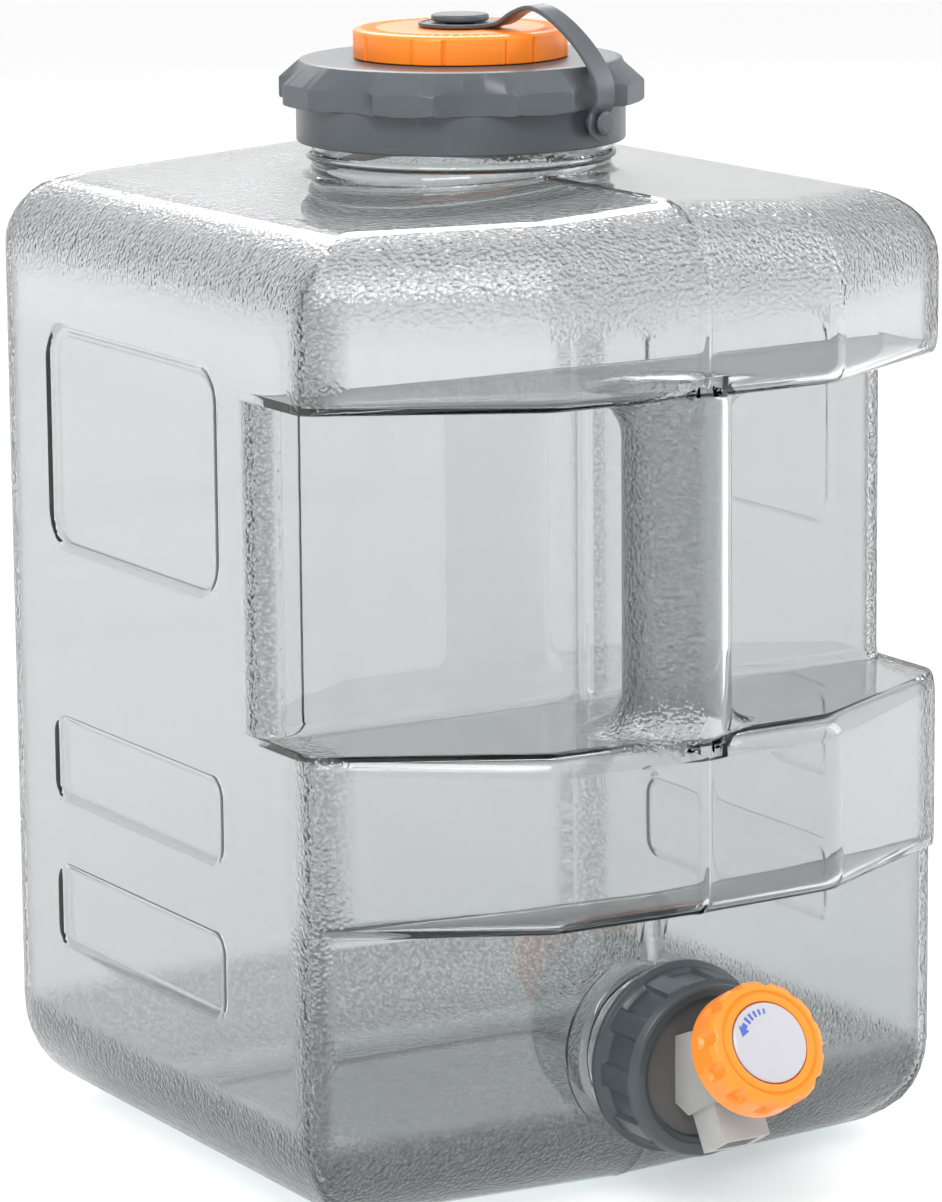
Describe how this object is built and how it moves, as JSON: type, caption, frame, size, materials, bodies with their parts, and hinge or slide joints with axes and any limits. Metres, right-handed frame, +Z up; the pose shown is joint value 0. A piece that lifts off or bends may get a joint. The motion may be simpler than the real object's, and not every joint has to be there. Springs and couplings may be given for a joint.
{
  "type": "water jug",
  "caption": "Squat clear water jug with a hand grip moulded into its front, a scalloped screw lid with tethered vent and pour cap, and a quarter-turn tap at the foot.",
  "frame": {"origin": "on the surface it stands on, at the middle of the whole assembly's footprint, tap included", "axes": "+Z up, -Y to the front where the tap and the grip are, +X to the right of someone who looks at the back from behind"},
  "size_m": [0.25, 0.3228, 0.3988],
  "materials": {
    "clear_body": "clear, slightly smoky, gloss with pebbled bands",
    "lid_grey": "satin",
    "nut_grey": "satin",
    "orange": "satin",
    "tap_grey": "satin",
    "flange_grey": "matte",
    "white": "satin",
    "seal_rubber": "matte",
    "black_rubber": "matte",
    "steel": "bright"
  },
  "bodies": {
    "jug": {"jug_body": "clear_body"},
    "lid_lift": {"lid_gasket": "seal_rubber"},
    "lid": {"screw_lid": "lid_grey", "strap_stud": "lid_grey"},
    "cap_lift": {"cap_gasket": "seal_rubber", "retaining_strap": "lid_grey"},
    "cap": {"pour_cap": "orange", "vent_seal": "black_rubber"},
    "vent": {"vent_plug": "lid_grey"},
    "tap": {"tap_gasket": "black_rubber", "tap_body": "tap_grey", "tap_washer": "flange_grey", "valve_gland": "tap_grey"},
    "nut": {"tap_nut": "nut_grey"},
    "valve": {"valve_rotor": "white", "valve_oring_inner": "black_rubber", "valve_oring_outer": "black_rubber", "tap_knob": "orange", "knob_screw": "steel", "knob_cap": "white"}
  },
  "joints": [
    {"name": "lid_lift", "type": "slide", "parent": "jug", "child": "lid_lift", "axis": [0, 0, 1], "range_m": [0, 0.0063]},
    {"name": "lid_turn", "type": "hinge", "parent": "lid_lift", "child": "lid", "pos_m": [0, 0.0416, 0.375], "axis": [0, 0, 1], "range_deg": [0, 450]},
    {"name": "cap_lift", "type": "slide", "parent": "lid", "child": "cap_lift", "axis": [0, 0, 1], "range_m": [0, 0.0031], "deforming": ["retaining_strap"]},
    {"name": "cap_turn", "type": "hinge", "parent": "cap_lift", "child": "cap", "pos_m": [0, 0.0416, 0.3792], "axis": [0, 0, 1], "range_deg": [0, 360]},
    {"name": "vent_pull", "type": "slide", "parent": "cap", "child": "vent", "axis": [0, 0, 1], "range_m": [0, 0.008]},
    {"name": "tap_draw", "type": "slide", "parent": "jug", "child": "tap", "axis": [0, -1, 0], "range_m": [0, 0.0038]},
    {"name": "nut_turn", "type": "hinge", "parent": "tap", "child": "nut", "pos_m": [0, -0.106, 0.0545], "axis": [0, -1, 0], "range_deg": [0, 450]},
    {"name": "valve_turn", "type": "hinge", "parent": "tap", "child": "valve", "pos_m": [0, -0.1201, 0.0545], "axis": [0, -0.866, 0.5], "range_deg": [0, 90]}
  ],
  "couplings": [
    {"joint": "lid_lift", "follows": "lid_turn", "m_per_rad": 0.00079577},
    {"joint": "cap_lift", "follows": "cap_turn", "m_per_rad": 0.00047746},
    {"joint": "tap_draw", "follows": "nut_turn", "m_per_rad": 0.00047746}
  ]
}
